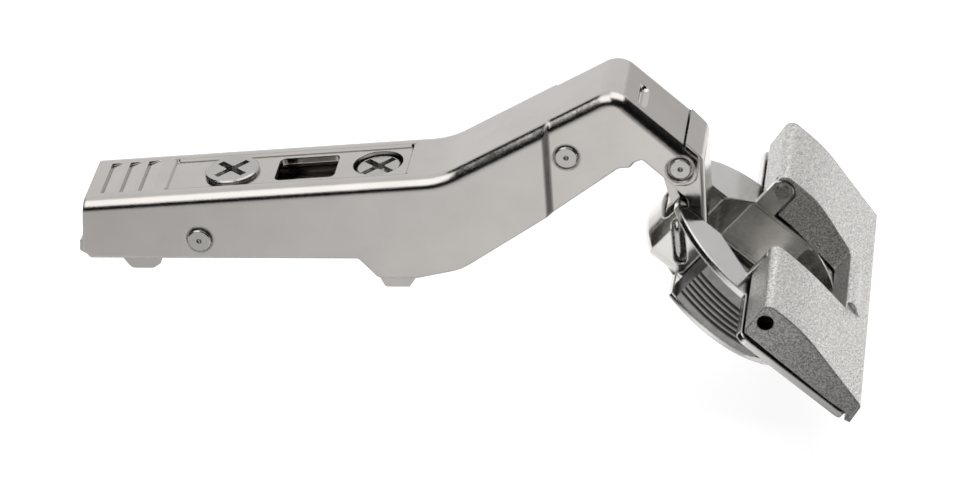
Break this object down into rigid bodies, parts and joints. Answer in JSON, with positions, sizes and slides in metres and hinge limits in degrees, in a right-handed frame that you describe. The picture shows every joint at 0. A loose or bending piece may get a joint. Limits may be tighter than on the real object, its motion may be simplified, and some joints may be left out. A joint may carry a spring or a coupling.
{
  "type": "concealed hinge",
  "caption": "Concealed cabinet hinge: a cranked arm with adjusting screws clips on a mounting plate, and links swing a cup that a flip lever grips in the door's bore.",
  "frame": {"origin": "centre of the cup on the underside of its flange, the face that lies on the door", "axes": "+X along the rear of the arm towards the door, +Y along the pivots away from the viewer, +Z away from the cabinet side"},
  "size_m": [0.1354, 0.065, 0.0523],
  "materials": {
    "sheet_steel": "satin",
    "pin_steel": "polished",
    "screw_metal": "satin",
    "spring_wire": "satin",
    "jaw_plastic": "satin",
    "cast_lever": "matte"
  },
  "bodies": {
    "channel": {"mounting_channel": "sheet_steel", "clip_lever_pin": "pin_steel", "clip_lever_spring": "spring_wire"},
    "clip": {"clip_lever": "sheet_steel"},
    "guide": {"rear_guide_pin": "pin_steel"},
    "arm": {"hinge_arm": "sheet_steel", "mid_rivet": "pin_steel", "front_pivot_pin": "pin_steel", "closing_spring": "spring_wire"},
    "cam": {"depth_cam_screw": "screw_metal"},
    "side_screw": {"side_adjust_screw": "screw_metal"},
    "outer_link": {"outer_link": "sheet_steel"},
    "cup": {"hinge_cup": "sheet_steel", "cup_axle_wire": "pin_steel", "near_lever_pin": "pin_steel", "far_lever_pin": "pin_steel"},
    "inner_link": {"inner_link": "sheet_steel"},
    "lever": {"locking_lever": "cast_lever"},
    "near_jaw": {"near_jaw": "jaw_plastic"},
    "far_jaw": {"far_jaw": "jaw_plastic"}
  },
  "joints": [
    {"name": "clip_lever_press", "type": "hinge", "parent": "channel", "child": "clip", "pos_m": [-0.10246, 0, 0.00643], "axis": [0, 1, 0], "range_deg": [0, 14], "stiffness_Nm_per_rad": 0.3, "springref_deg": -5.73, "deforming": ["clip_lever_spring"]},
    {"name": "depth_adjust", "type": "slide", "parent": "channel", "child": "guide", "axis": [1, 0, 0], "range_m": [-0.002, 0.003]},
    {"name": "side_adjust", "type": "hinge", "parent": "guide", "child": "arm", "pos_m": [-0.09426, 0, 0.00613], "axis": [0, -1, 0], "range_deg": [-1.25, 1.25]},
    {"name": "depth_cam_turn", "type": "hinge", "parent": "arm", "child": "cam", "pos_m": [-0.08926, 0, 0.01495], "axis": [-0.0732, 0, 0.9973], "range_deg": [-110, 165]},
    {"name": "side_screw_turn", "type": "hinge", "parent": "guide", "child": "side_screw", "pos_m": [-0.06386, 0, 0.01681], "axis": [-0.0732, 0, 0.9973], "range_deg": [-240, 240]},
    {"name": "outer_link_turn", "type": "hinge", "parent": "arm", "child": "outer_link", "pos_m": [-0.01146, 0, 0.01933], "axis": [0, -1, 0], "range_deg": [-4, 0.5]},
    {"name": "door_swing", "type": "hinge", "parent": "outer_link", "child": "cup", "pos_m": [-0.01205, 0, 0.00267], "axis": [0, -1, 0], "range_deg": [0, 93.88]},
    {"name": "inner_link_turn", "type": "hinge", "parent": "cup", "child": "inner_link", "pos_m": [-0.01233, 0, 0.00889], "axis": [0, -1, 0], "range_deg": [-115, 0.5], "deforming": ["closing_spring"]},
    {"name": "locking_lever_swing", "type": "hinge", "parent": "cup", "child": "lever", "pos_m": [0.00384, 0, 0.00421], "axis": [0, -1, 0], "range_deg": [0, 55]},
    {"name": "near_jaw_grip", "type": "slide", "parent": "cup", "child": "near_jaw", "axis": [0, 1, 0], "range_m": [0, 0.0008]},
    {"name": "far_jaw_grip", "type": "slide", "parent": "cup", "child": "far_jaw", "axis": [0, -1, 0], "range_m": [0, 0.0008]}
  ],
  "couplings": [
    {"joint": "depth_cam_turn", "follows": "depth_adjust", "rad_per_m": 952},
    {"joint": "side_screw_turn", "follows": "side_adjust", "ratio": 190},
    {"joint": "outer_link_turn", "follows": "door_swing", "ratio": -0.041329},
    {"joint": "inner_link_turn", "follows": "door_swing", "ratio": -1.2231},
    {"joint": "near_jaw_grip", "follows": "locking_lever_swing", "m_per_rad": 0.000823},
    {"joint": "far_jaw_grip", "follows": "locking_lever_swing", "m_per_rad": 0.000823}
  ]
}
